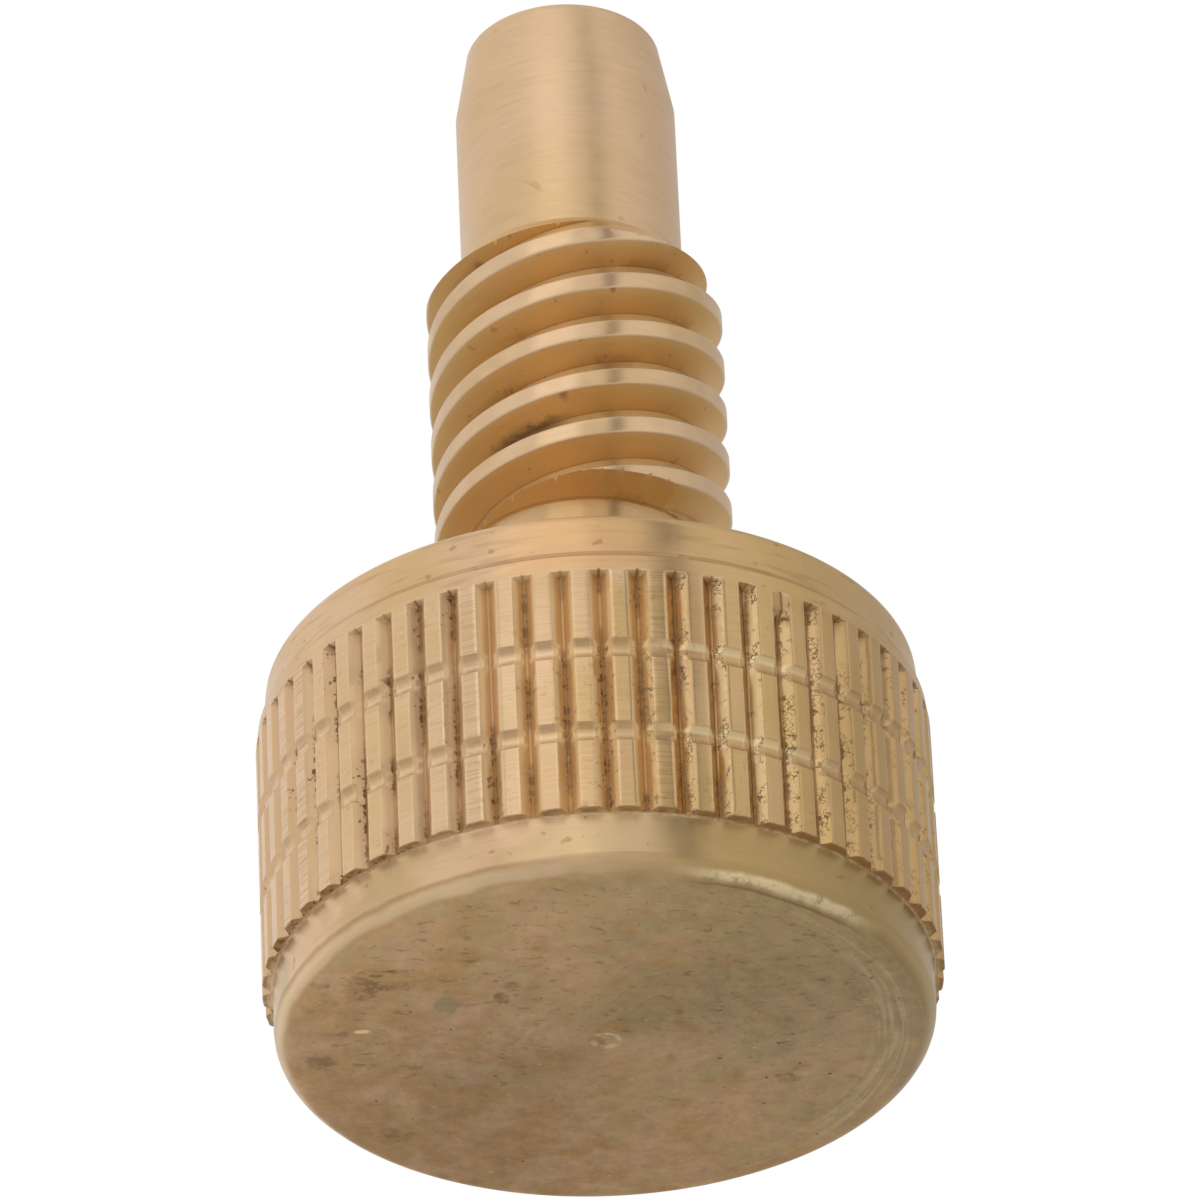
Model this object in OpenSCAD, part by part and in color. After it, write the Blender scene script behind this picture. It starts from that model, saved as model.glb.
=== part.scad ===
// Cue weight screw: one turned piece, standing on the flat face of its head.
// Z = 0 is the outer face of the head, and the shank points up along +Z.

/* [Head] */
// Diameter over the lands of the knurl
knurl_d = 22; // [20:0.1:30]
// Diameter of the plain collars below and above the knurl
collar_d = 21.3; // [17:0.1:21.8]
// Length of the plain collar next to the outer face
lower_collar_len = 2.13; // [1.5:0.01:4]
// Length of the knurled band
knurl_len = 8.91; // [6:0.01:14]
// Length of the plain strip that stops the knurl
stop_len = 0.53; // [0.2:0.01:1]
// Diameter of the plain strip that stops the knurl
stop_d = 21.86; // [21.3:0.02:30]
// Length of the plain collar on the shank side
upper_collar_len = 1.81; // [1.2:0.01:4]
// Radius of the rounded edge round the outer face
face_edge_r = 0.7; // [0.2:0.05:1.4]
// Radius of the rounded edge on the shank side
back_edge_r = 0.4; // [0.1:0.05:0.8]
// Diameter of the centre mark in the outer face
centre_d = 1.1; // [0.5:0.1:3]
// Depth of the centre mark
centre_depth = 0.1; // [0.04:0.02:0.4]

/* [Knurl] */
// Number of straight grooves round the head
groove_count = 56; // [36:1:64]
// Direction of the first straight groove
groove_start = 2.3; // [0:0.1:10]
// Depth of the straight grooves
groove_depth = 0.3; // [0.15:0.01:0.4]
// Width of the straight grooves at the surface
groove_w = 0.66; // [0.3:0.02:0.74]
// Width of the flat at the bottom of the straight grooves
groove_root_w = 0.08; // [0.02:0.01:0.2]
// Height of the lower cross groove above the foot of the knurl
lower_cross_z = 2.83; // [1:0.01:4]
// Distance between the two cross grooves
cross_pitch = 3.1; // [1.5:0.05:4]
// Width of the cross grooves at the surface
cross_w = 0.72; // [0.5:0.01:1.2]
// Width of the flat at the bottom of the cross grooves
cross_root_w = 0.34; // [0.1:0.01:0.48]
// Depth of the cross grooves
cross_depth = 0.17; // [0.1:0.01:0.35]

/* [Shank] */
// Diameter of the relief neck between head and thread
neck_d = 7.9; // [6:0.1:8]
// Length of the relief neck
neck_len = 4.77; // [2:0.01:10]
// Diameter over the flat crests of the thread
thread_d = 9.85; // [9.8:0.01:12]
// Number of starts that wind side by side
thread_starts = 3; // [1:1:4]
// Distance between neighbouring crests
thread_pitch = 1.894; // [1.7:0.001:2.4]
// Depth of the thread groove
thread_depth = 0.9; // [0.6:0.01:0.92]
// Width of the flat crest
crest_w = 0.58; // [0.3:0.01:0.7]
// Slope of each thread flank from square to the axis
flank_angle = 30; // [20:1:31]
// Length of the thread with both end chamfers
thread_len = 11.3; // [8:0.1:30]
// Slope of the chamfer at the lead end, from the axis
lead_angle = 45; // [30:1:55]
// Direction in which one crest leaves the neck
thread_start = 15.6; // [0:0.1:359]

/* [Pilot] */
// Diameter of the plain pilot
pilot_d = 7.38; // [6:0.01:7.8]
// Length of the straight part of the pilot
pilot_len = 6.42; // [3:0.02:20]
// Length of the tapered nose
nose_len = 2.33; // [1:0.01:5]
// Diameter at the small end of the nose
nose_d = 6.55; // [4:0.01:6.9]
// Radius that rounds the end of the nose
nose_r = 0.36; // [0.1:0.02:0.8]

/* [Smoothness] */
// Flat steps of the thread from one start to the next
start_steps = 12; // [8:1:20]
// Steps in one full circle
circle_steps = 128; // [64:8:256]

/* [Hidden] */
$fn = circle_steps;
brass = [0.80, 0.66, 0.46];

// How far a cutting shape reaches past the surface that it cuts
clear = 0.3;
// How far the straight grooves end before the stop strip
groove_stop = 0.04;

knurl_r = knurl_d / 2;
collar_r = collar_d / 2;
stop_r = stop_d / 2;
neck_r = neck_d / 2;
crest_r = thread_d / 2;
root_r = crest_r - thread_depth;
pilot_r = pilot_d / 2;
nose_end_r = nose_d / 2;

// Heights of the shoulders, from the outer face up
knurl_z = lower_collar_len;
stop_z = knurl_z + knurl_len;
stop_top_z = stop_z + stop_len;
back_z = stop_top_z + upper_collar_len;
neck_top_z = back_z + neck_len;
pilot_z = neck_top_z + thread_len;
nose_z = pilot_z + pilot_len;
nose_top_z = nose_z + nose_len;
end_z = nose_top_z + nose_r;

// The stop strip falls to the upper collar at 45 degrees
stop_fall = stop_r - collar_r;

flank_rise = tan(flank_angle);
lead_run = tan(lead_angle);

// Points of a quarter circle about a centre, from one direction to a right angle further
function quarter(centre, r, from, steps) = [
    for (i = [0:steps])
        let (a = from + 90 * i / steps)
        centre + r * [cos(a), sin(a)]
];

// Turned outline of the whole screw, without its thread and knurl grooves
module blank_profile() {
    core_r = min(neck_r, pilot_r, root_r - clear);
    polygon(concat(
        [[0, centre_depth], [centre_d / 2, 0]],
        quarter([collar_r - face_edge_r, face_edge_r], face_edge_r, -90, 4),
        [
            [collar_r, knurl_z],
            [knurl_r, knurl_z],
            [knurl_r, stop_z],
            [stop_r, stop_z],
            [stop_r, stop_top_z],
            [collar_r, stop_top_z + stop_fall]
        ],
        quarter([collar_r - back_edge_r, back_z - back_edge_r], back_edge_r, 0, 2),
        [
            [neck_r, back_z],
            [neck_r, neck_top_z],
            [core_r, neck_top_z],
            [core_r, pilot_z],
            [pilot_r, pilot_z],
            [pilot_r, nose_z]
        ],
        quarter([nose_end_r - nose_r, nose_top_z], nose_r, 0, 2),
        [[0, end_z]]
    ));
}

module blank() {
    rotate_extrude()
        blank_profile();
}

// One straight knurl groove, from below the knurl to just short of the stop strip
module straight_groove() {
    half_mouth = groove_root_w / 2 + (groove_w - groove_root_w) / 2 * (1 + clear / groove_depth);
    translate([0, 0, knurl_z - clear])
        linear_extrude(knurl_len + clear - groove_stop)
            polygon([
                [knurl_r - groove_depth, -groove_root_w / 2],
                [knurl_r + clear, -half_mouth],
                [knurl_r + clear, half_mouth],
                [knurl_r - groove_depth, groove_root_w / 2]
            ]);
}

// Flat-bottomed notch that one cross groove leaves in a single land
module land_notch(z) {
    half_mouth = cross_root_w / 2 + (cross_w - cross_root_w) / 2 * (1 + clear / cross_depth);
    land_pitch = 2 * knurl_r * sin(180 / groove_count);
    translate([0, 0, z])
        rotate([90, 0, 0])
            linear_extrude(land_pitch, center = true)
                polygon([
                    [knurl_r - cross_depth, -cross_root_w / 2],
                    [knurl_r + clear, -half_mouth],
                    [knurl_r + clear, half_mouth],
                    [knurl_r - cross_depth, cross_root_w / 2]
                ]);
}

module knurl_cuts() {
    for (i = [0:groove_count - 1]) {
        rotate(groove_start + 360 * i / groove_count)
            straight_groove();
        rotate(groove_start + 360 * (i + 0.5) / groove_count)
            for (row = [0:1])
                land_notch(knurl_z + lower_cross_z + row * cross_pitch);
    }
}

// Right-hand thread as a bar that reaches past both ends. Each column is the outline in
// one direction, four points for each ridge, and a full turn lifts it by one ridge a start.
module thread_bar() {
    columns = thread_starts * start_steps;
    low_rows = thread_starts + 1;
    top = low_rows + ceil(thread_len / thread_pitch) + 1;
    rows = top + 1;
    root_half = crest_w / 2 + thread_depth * flank_rise;
    section = [
        [root_r, -root_half],
        [crest_r, -crest_w / 2],
        [crest_r, crest_w / 2],
        [root_r, root_half]
    ];
    points = [
        for (c = [0:columns - 1], k = [0:top], p = section)
            let (
                a = thread_start + 360 * c / columns,
                rise = k - low_rows + thread_starts * c / columns
            )
            [p.x * cos(a), p.x * sin(a), neck_top_z + thread_pitch * rise + p.y]
    ];
    foot = len(points);
    head = foot + 1;
    centres = [[0, 0, neck_top_z - thread_pitch], [0, 0, pilot_z + thread_pitch]];

    // First point of a ridge in a column, where the column after the last is the first again
    function at(c, k) =
        c < columns ? 4 * (c * rows + k) : 4 * (k + thread_starts);
    // Highest ridge that a column shares with the next one
    function shared(c) = c < columns - 1 ? top : top - thread_starts;

    ridge = [
        for (c = [0:columns - 1], k = [0:shared(c)], j = [0:2])
            let (p = at(c, k) + j, q = at(c + 1, k) + j)
            each [[p, p + 1, q + 1], [p, q + 1, q]]
    ];
    root = [
        for (c = [0:columns - 1], k = [0:shared(c) - 1])
            let (p = at(c, k) + 3, q = at(c + 1, k) + 3)
            each [[p, at(c, k + 1), at(c + 1, k + 1)], [p, at(c + 1, k + 1), q]]
    ];
    foot_fan = [
        for (c = [0:columns - 1])
            [foot, at(c, 0), at(c + 1, 0)]
    ];
    head_fan = [
        for (c = [0:columns - 1])
            [head, at(c + 1, shared(c)) + 3, at(c, shared(c)) + 3]
    ];
    // The first and the last column close the step that the full turn leaves at each end
    foot_end = [
        for (k = [0:thread_starts - 1])
            let (p = at(0, k))
            each [[p + 3, p + 2, p + 1, p], [foot, at(0, k + 1), p + 3, p]]
    ];
    head_end = [
        for (k = [shared(columns - 1):top - 1])
            let (p = at(columns - 1, k), q = at(columns - 1, k + 1))
            each [[q, q + 1, q + 2, q + 3], [head, p + 3, q, q + 3]]
    ];
    polyhedron(
        points = concat(points, centres),
        faces = concat(ridge, root, foot_fan, head_fan, foot_end, head_end)
    );
}

// Turned outline that trims the thread bar, with a chamfer at each end
module thread_limits() {
    outer_r = crest_r + clear;
    rotate_extrude()
        polygon([
            [0, neck_top_z],
            [neck_r, neck_top_z],
            [outer_r, neck_top_z + (outer_r - neck_r) * flank_rise],
            [outer_r, pilot_z - (outer_r - pilot_r) / lead_run],
            [pilot_r, pilot_z],
            [0, pilot_z]
        ]);
}

module weight_screw() {
    color(brass) {
        difference() {
            blank();
            knurl_cuts();
        }
        intersection() {
            thread_bar();
            thread_limits();
        }
    }
}

weight_screw();
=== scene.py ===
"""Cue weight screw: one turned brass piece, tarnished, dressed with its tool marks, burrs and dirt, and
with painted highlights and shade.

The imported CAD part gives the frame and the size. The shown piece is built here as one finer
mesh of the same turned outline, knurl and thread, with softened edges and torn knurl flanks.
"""

import math

import bpy
import numpy as np
from mathutils import Matrix, Vector, noise


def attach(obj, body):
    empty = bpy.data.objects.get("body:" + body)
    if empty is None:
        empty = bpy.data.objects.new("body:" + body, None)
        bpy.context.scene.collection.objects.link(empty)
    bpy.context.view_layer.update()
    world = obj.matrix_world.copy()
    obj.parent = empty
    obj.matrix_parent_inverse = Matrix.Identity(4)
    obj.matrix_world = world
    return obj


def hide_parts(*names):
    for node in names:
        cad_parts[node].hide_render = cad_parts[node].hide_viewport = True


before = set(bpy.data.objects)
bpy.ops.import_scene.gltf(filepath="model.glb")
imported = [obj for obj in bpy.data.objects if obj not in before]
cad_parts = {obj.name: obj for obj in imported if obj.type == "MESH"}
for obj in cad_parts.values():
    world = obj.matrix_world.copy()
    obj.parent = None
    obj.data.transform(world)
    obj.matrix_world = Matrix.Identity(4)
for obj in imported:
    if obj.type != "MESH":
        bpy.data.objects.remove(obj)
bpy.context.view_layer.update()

MM = 0.001
NODE = "weight_screw"

# ---------------------------------------------------------------- sizes, in millimetres
# Head, from its outer face up
KNURL_R = 11.0
COLLAR_R = 10.65
STOP_R = 10.93
KNURL_Z = 2.13
STOP_Z = KNURL_Z + 8.91
STOP_TOP_Z = STOP_Z + 0.53
COLLAR_Z = STOP_TOP_Z + STOP_R - COLLAR_R
BACK_Z = STOP_TOP_Z + 1.81
FACE_EDGE_R = 0.7
BACK_EDGE_R = 0.4
CENTRE_R = 0.55
CENTRE_DEPTH = 0.1

# Knurl
GROOVES = 56
GROOVE_START_DEG = 2.3
GROOVE_DEPTH = 0.3
GROOVE_HALF_W = 0.33
GROOVE_ROOT_HALF_W = 0.04
GROOVE_STOP = 0.04
GROOVE_RUNOUT = 0.07
SHORT_GROOVE = 47
SHORT_BY = 0.85
CROSS_Z = (KNURL_Z + 2.83, KNURL_Z + 5.93)
CROSS_HALF_W = 0.36
CROSS_DEPTH = 0.17

# Shank
NECK_R = 3.95
NECK_TOP_Z = BACK_Z + 4.77
CREST_R = 4.925
ROOT_R = CREST_R - 0.9
STARTS = 3
PITCH = 1.894
LEAD = STARTS * PITCH
CREST_HALF_W = 0.29
FLANK = math.tan(math.radians(30))
THREAD_START_DEG = 15.6
THREAD_LEN = 11.3
PILOT_R = 3.69
PILOT_Z = NECK_TOP_Z + THREAD_LEN
NOSE_Z = PILOT_Z + 6.42
NOSE_TOP_Z = NOSE_Z + 2.33
NOSE_END_R = 3.275
NOSE_R = 0.36
END_Z = NOSE_TOP_Z + NOSE_R

# ---------------------------------------------------------------- camera
# The camera stands in front of the screw and below it, and looks up at its flat face.
FRAME_PX = 1200
SENSOR_MM = 36.0
FOCAL_PX = 11796
LOOK_UP_DEG = 32.25
ROLL_DEG = -2.6
AIM_MM = (0.44, 0.0, 16.74)
DISTANCE_MM = 387.6


def make_camera():
    """Long lens that frames the piece as the photo does."""
    data = bpy.data.cameras.new("camera")
    data.sensor_width = SENSOR_MM
    data.lens = FOCAL_PX * SENSOR_MM / FRAME_PX
    data.clip_start = 0.01
    data.clip_end = 10.0
    cam = bpy.data.objects.new("camera", data)
    bpy.context.scene.collection.objects.link(cam)
    tilt = math.radians(LOOK_UP_DEG)
    forward = Vector((0.0, math.cos(tilt), math.sin(tilt)))
    level = forward.to_track_quat("-Z", "Y")
    roll = Matrix.Rotation(math.radians(ROLL_DEG), 3, "Z").to_quaternion()
    cam.rotation_mode = "QUATERNION"
    cam.rotation_quaternion = level @ roll
    cam.location = Vector(AIM_MM) * MM - forward * DISTANCE_MM * MM
    bpy.context.scene.camera = cam


# ---------------------------------------------------------------- mesh helpers
WELD_STEP = 1e-4


def weld(points, faces):
    """Joins points that lie within a tenth of a micron, and drops faces that collapse."""
    keys = np.round(np.asarray(points) / WELD_STEP).astype(np.int64)
    _, first, index = np.unique(keys, axis=0, return_index=True, return_inverse=True)
    index = index.ravel()
    kept = []
    for face in faces:
        corners = []
        for i in face:
            j = int(index[i])
            if j not in corners:
                corners.append(j)
        if len(corners) > 2:
            kept.append(corners)
    return np.asarray(points)[first], kept


class Shell:
    """Points and faces of one turned body, gathered ring by ring, in millimetres."""

    def __init__(self):
        self.points = []
        self.faces = []

    def add(self, points):
        """Adds points and returns the number of the first one."""
        start = len(self.points)
        self.points.extend(map(tuple, points))
        return start

    def skin(self, low, high, count):
        """Quads between two rings of as many points, the second further along the outline."""
        for i in range(count):
            j = (i + 1) % count
            self.faces.append((low + i, low + j, high + j, high + i))

    def turn(self, last, rows, angles):
        """Rings at the rows (r, z) of an outline, each skinned to the one before it."""
        for r, z in rows:
            here = self.add(ring(angles, r, z))
            self.skin(last, here, len(angles))
            last = here
        return last

    def step_down(self, fine, fine_count, coarse, coarse_count):
        """Flat faces from a fine ring to a coarse one, a whole number of points to each."""
        share = fine_count // coarse_count
        for i in range(coarse_count):
            edge = [fine + (i * share + k) % fine_count for k in range(share + 1)]
            self.faces.append((*edge, coarse + (i + 1) % coarse_count, coarse + i))

    def step_up(self, coarse, coarse_count, fine, fine_count):
        """Flat faces from a coarse ring to a fine one."""
        share = fine_count // coarse_count
        for i in range(coarse_count):
            edge = [fine + (i * share + k) % fine_count for k in range(share, -1, -1)]
            self.faces.append((coarse + i, coarse + (i + 1) % coarse_count, *edge))


def ring(angles, radius, height):
    """Points round the axis, where the radius and the height may change from one to the next."""
    radius = np.broadcast_to(radius, angles.shape)
    height = np.broadcast_to(height, angles.shape)
    return np.stack([radius * np.cos(angles), radius * np.sin(angles), height], -1)


def quarter(centre_r, centre_z, radius, start_deg, steps):
    """Outline points (r, z) of a quarter circle."""
    turn = [math.radians(start_deg + 90 * i / steps) for i in range(steps + 1)]
    return [(centre_r + radius * math.cos(a), centre_z + radius * math.sin(a)) for a in turn]


def wander(x, y, z, seed):
    """Smooth noise from -1 to 1 that is the same on every run."""
    return noise.noise(Vector((x + 17.3 * seed, y - 9.1 * seed, z + 4.7 * seed)))


# ---------------------------------------------------------------- knurl
# Places of the columns across one tooth, as shares of the pitch from groove to groove
TOOTH_PITCH = 2 * math.pi / GROOVES
ARC_PITCH = KNURL_R * TOOTH_PITCH
ROOT_SHARE = GROOVE_ROOT_HALF_W / ARC_PITCH
MOUTH_SHARE = GROOVE_HALF_W / ARC_PITCH
SOFT_SHARE = 0.014
HALF_TOOTH = (
    0.0,
    ROOT_SHARE,
    0.14,
    MOUTH_SHARE - SOFT_SHARE,
    MOUTH_SHARE + SOFT_SHARE,
    0.38,
)
TOOTH_COLUMNS = (*HALF_TOOTH, 0.5, *(1 - s for s in reversed(HALF_TOOTH[1:])))
HEAD_COUNT = GROOVES * len(TOOTH_COLUMNS)
SHANK_SHARE = 3
SHANK_COUNT = HEAD_COUNT // SHANK_SHARE

# How far the knurl strays from the cutter's clean form. Lands lean and bulge, and count as
# lands down to a small depth. Flanks are torn near the mouth, by a share of the pitch.
LAND_LEAN = 0.012
LAND_BULGE = 0.012
LAND_DEPTH = 0.02
TORN_REACH_SHARE = 0.12
TORN_SHIFT_SHARE = 0.016
FLOOR_WAVE = 0.03
END_RAG = 0.04

# The foot of the knurl is ragged up to a small height
FOOT_RAG = 0.045
FOOT_RAG_SCALE = 30
FOOT_HEIGHT = 0.1


def groove_depth_at(share):
    """Depth of the straight groove at a share of the pitch, from the groove's middle."""
    side = min(share, 1 - share)
    if side <= ROOT_SHARE:
        return GROOVE_DEPTH
    if side >= MOUTH_SHARE:
        return 0.0
    return GROOVE_DEPTH * (MOUTH_SHARE - side) / (MOUTH_SHARE - ROOT_SHARE)


def cross_depth_at(z):
    """Depth of the cross grooves at a height: a round-bottomed cut."""
    side = min(abs(z - c) for c in CROSS_Z) / CROSS_HALF_W
    return CROSS_DEPTH * max(1 - side * side, 0.0)


def knurl_rows():
    """Heights of the rows up the knurl, close together in the cross grooves."""
    cut_shares = (-1.0, -0.93, -0.75, -0.5, -0.2, 0.2, 0.5, 0.75, 0.93, 1.0)
    cuts = [c + CROSS_HALF_W * share for c in CROSS_Z for share in cut_shares]
    soft = 0.02
    land_rows = 9
    starts = [KNURL_Z + 0.05, *(c + CROSS_HALF_W + soft for c in CROSS_Z)]
    ends = [*(c - CROSS_HALF_W - soft for c in CROSS_Z), STOP_Z - 0.08]
    lands = [z for low, high in zip(starts, ends) for z in np.linspace(low, high, land_rows)]
    runout = [STOP_Z - GROOVE_STOP - GROOVE_RUNOUT * share for share in (0.3, 1.0, 1.6, 2.2)]
    return sorted({round(z, 4) for z in cuts + lands + runout})


def groove_end(groove, z):
    """Depth that the run-out at the top of one groove allows at a height."""
    top = STOP_Z - GROOVE_STOP - END_RAG * (1 + wander(groove * 2.9, 0.0, 0.0, 7))
    if groove == SHORT_GROOVE:
        top -= SHORT_BY
    return max(GROOVE_DEPTH * (top - z) / GROOVE_RUNOUT, 0.0)


def knurl_ring(z, fall=0.0):
    """Angle and radius of each column in one row of the knurl, at least the fall below its lands."""
    angles = np.empty(HEAD_COUNT)
    radii = np.empty(HEAD_COUNT)
    cross = cross_depth_at(z)
    band = sum(z > c for c in CROSS_Z)
    n = len(TOOTH_COLUMNS)
    start = math.radians(GROOVE_START_DEG)
    for tooth in range(GROOVES):
        lean = LAND_LEAN * wander(tooth * 0.9, band * 2.7, 0.0, 1)
        bulge = LAND_BULGE * wander(tooth * 0.7, z * 0.35, 0.0, 2)
        for k, share in enumerate(TOOTH_COLUMNS):
            side = -1 if share < 0.5 else 1
            groove = (tooth if share < 0.5 else tooth + 1) % GROOVES
            mouth = 1 - min(abs(min(share, 1 - share) - MOUTH_SHARE) / TORN_REACH_SHARE, 1)
            # A slow wave and a quick one along each flank
            torn = wander(groove * 3.1, side * 5.3, z * 1.7, 3)
            torn += 0.6 * wander(groove * 3.1, side * 5.3, z * 6.0, 4)
            place = share + mouth * TORN_SHIFT_SHARE * torn
            straight = groove_depth_at(share)
            floor = FLOOR_WAVE * wander(groove * 2.3, 0.0, z * 1.1, 5) * (straight / GROOVE_DEPTH)
            depth = max(min(straight + floor, groove_end(groove, z)), cross)
            if depth < LAND_DEPTH:
                depth += bulge + lean * (share - 0.5) * 4
                depth = max(depth, 0.0)
            i = tooth * n + k
            angles[i] = start + (tooth + place) * TOOTH_PITCH
            radii[i] = KNURL_R - max(depth, fall)
    return angles, radii


# ---------------------------------------------------------------- thread
CREST_SOFT = 0.02


def thread_radius(w):
    """Radius of the thread at an axial distance from the middle of the nearest crest."""
    side = abs(w)
    if side <= CREST_HALF_W - 2 * CREST_SOFT:
        return CREST_R
    if side <= CREST_HALF_W + CREST_SOFT:
        t = (side - CREST_HALF_W + 2 * CREST_SOFT) / (3 * CREST_SOFT)
        return CREST_R - t * t * CREST_SOFT / FLANK
    return max(CREST_R - (side - CREST_HALF_W) / FLANK, ROOT_R)


# Places of the rows from one crest to the next, as axial distances from the crest's middle
ROOT_HALF_W = CREST_HALF_W + (CREST_R - ROOT_R) * FLANK
HALF_THREAD = (0.17, 0.25, 0.29, 0.31, 0.46, 0.64, 0.78, ROOT_HALF_W)
THREAD_ROWS = (
    *(-w for w in reversed(HALF_THREAD)),
    0.0,
    *HALF_THREAD,
    PITCH / 2,
)


def thread_limit(z):
    """Radius that the end chamfers leave at a height."""
    low = NECK_R + (z - NECK_TOP_Z) / FLANK
    high = PILOT_R + (PILOT_Z - z)
    return min(low, high)


def thread_column(turn):
    """Outline points (r, z) of the thread in one direction, from the neck to the pilot."""
    spare = 2
    first = -STARTS - spare
    last = math.ceil(THREAD_LEN / PITCH) + STARTS + spare
    offsets = [k * PITCH + w for k in range(first, last) for w in THREAD_ROWS]
    base = NECK_TOP_Z + LEAD * turn
    z = np.array([base + w for w in offsets])
    free = np.array([thread_radius(w) for _ in range(first, last) for w in THREAD_ROWS])
    limit = np.array([thread_limit(v) for v in z])
    # Where the thread meets a chamfer, the nearest row moves onto the meeting point
    gap = free - limit
    cuts = [k for k in range(len(z) - 1) if (gap[k] > 0) != (gap[k + 1] > 0)]
    out_r = np.minimum(free, limit)
    out_z = z.copy()
    for k in cuts:
        t = gap[k] / (gap[k] - gap[k + 1])
        near = k if t < 0.5 else k + 1
        out_z[near] = z[k] + t * (z[k + 1] - z[k])
        out_r[near] = thread_limit(out_z[near])
    # Rows past either end gather on the rim of the neck or the pilot
    below = out_z <= NECK_TOP_Z
    above = out_z >= PILOT_Z
    out_z[below] = NECK_TOP_Z
    out_r[below] = NECK_R
    out_z[above] = PILOT_Z
    out_r[above] = PILOT_R
    return out_r, out_z


# ---------------------------------------------------------------- the whole piece
# Rows (r, z) of the turned outlines between their round edges. The two flat faces have fewer
# points to a ring inside the coarse radius.
LOWER_COLLAR_ROWS = (
    (COLLAR_R, 1.2),
    (COLLAR_R, 1.9),
    (COLLAR_R, KNURL_Z - 0.10),
    (COLLAR_R + 0.02, KNURL_Z - 0.04),
    (COLLAR_R + 0.06, KNURL_Z - 0.01),
)
UPPER_COLLAR_ROWS = (
    (KNURL_R - 0.02, STOP_Z - GROOVE_STOP),
    (KNURL_R - 0.02, STOP_Z),
    (STOP_R, STOP_Z + 0.01),
    (STOP_R, STOP_TOP_Z - 0.02),
    (STOP_R - 0.02, STOP_TOP_Z),
    (COLLAR_R + 0.03, COLLAR_Z - 0.03),
    (COLLAR_R, COLLAR_Z + 0.05),
    (COLLAR_R, 12.6),
)
FACE_COARSE_R = 9.0
FACE_ROWS = ((5.0, 0.0), (CENTRE_R + 0.1, 0.0), (CENTRE_R, 0.01), (0.25, 0.07))
BACK_COARSE_R = 9.6
NECK_ROWS = (
    (7.0, BACK_Z),
    (NECK_R + 0.15, BACK_Z),
    (NECK_R + 0.04, BACK_Z + 0.04),
    (NECK_R, BACK_Z + 0.15),
    (NECK_R, BACK_Z + 1.6),
    (NECK_R, BACK_Z + 3.2),
    (NECK_R, NECK_TOP_Z),
)
PILOT_ROWS = (
    (PILOT_R, PILOT_Z + 2.2),
    (PILOT_R, NOSE_Z - 2.0),
    (PILOT_R, NOSE_Z - 0.03),
    (PILOT_R - 0.004, NOSE_Z + 0.03),
)
NOSE_FLAT_R = 1.5

# Edges that bend by more than this stay sharp
SHARP_DEG = 32


def build_knurl(shell, last):
    """Rows of the knurl, from its softened foot to just short of the stop strip."""
    rows = [(KNURL_Z + 0.005, 0.06), (KNURL_Z + 0.02, 0.02)]
    rows += [(z, 0.0) for z in knurl_rows()]
    rows += [(STOP_Z - GROOVE_STOP - 0.01, 0.0)]
    for z, fall in rows:
        angles, radii = knurl_ring(z, fall)
        heights = np.full(HEAD_COUNT, z)
        if z < KNURL_Z + FOOT_HEIGHT:
            for i in range(HEAD_COUNT):
                x = math.cos(angles[i]) * FOOT_RAG_SCALE
                y = math.sin(angles[i]) * FOOT_RAG_SCALE
                heights[i] += FOOT_RAG * wander(x, y, 0, 6)
        here = shell.add(ring(angles, radii, heights))
        shell.skin(last, here, HEAD_COUNT)
        last = here
    return last


def build_head(shell, angles):
    """The head, from the rim of its outer face to the rim of its back face."""
    face_edge = quarter(COLLAR_R - FACE_EDGE_R, FACE_EDGE_R, FACE_EDGE_R, -90, 7)
    back_edge = quarter(COLLAR_R - BACK_EDGE_R, BACK_Z - BACK_EDGE_R, BACK_EDGE_R, 0, 6)
    rim = shell.add(ring(angles, *face_edge[0]))
    last = shell.turn(rim, (*face_edge[1:], *LOWER_COLLAR_ROWS), angles)
    last = build_knurl(shell, last)
    back = shell.turn(last, (*UPPER_COLLAR_ROWS, *back_edge), angles)
    return rim, back


def build_face(shell, rim, angles):
    """The outer face, from its rim in to the centre mark."""
    m = SHANK_COUNT
    last = shell.add(ring(angles, FACE_COARSE_R, 0.0))
    shell.step_up(last, m, rim, HEAD_COUNT)
    for r, z in FACE_ROWS:
        here = shell.add(ring(angles, r, z))
        shell.skin(here, last, m)
        last = here
    tip = shell.add([(0.0, 0.0, CENTRE_DEPTH)])
    for i in range(m):
        shell.faces.append((tip, last + (i + 1) % m, last + i))


def build_neck(shell, back, angles):
    """The back face, from its rim in to the neck, and the neck with a small fillet at its foot."""
    last = shell.add(ring(angles, BACK_COARSE_R, BACK_Z))
    shell.step_down(back, HEAD_COUNT, last, SHANK_COUNT)
    shell.turn(last, NECK_ROWS, angles)


def build_thread(shell, angles):
    """The thread: its columns follow the helix, so the last one meets the first a turn higher."""
    columns = []
    for a in np.append(angles, angles[0] + 2 * math.pi):
        turn = (a - math.radians(THREAD_START_DEG)) / (2 * math.pi)
        r, z = thread_column(turn)
        columns.append(shell.add(np.stack([r * math.cos(a), r * math.sin(a), z], -1)))
    for a, b in zip(columns, columns[1:]):
        for k in range(len(r) - 1):
            shell.faces.append((a + k, b + k, b + k + 1, a + k + 1))


def build_pilot(shell, angles):
    """The pilot with its tapered, rounded nose."""
    m = SHANK_COUNT
    nose = quarter(NOSE_END_R - NOSE_R, NOSE_TOP_Z, NOSE_R, 0, 7)
    last = shell.add(ring(angles, PILOT_R, PILOT_Z))
    last = shell.turn(last, (*PILOT_ROWS, *nose, (NOSE_FLAT_R, END_Z)), angles)
    tip = shell.add([(0.0, 0.0, END_Z)])
    for i in range(m):
        shell.faces.append((last + i, last + (i + 1) % m, tip))


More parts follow.
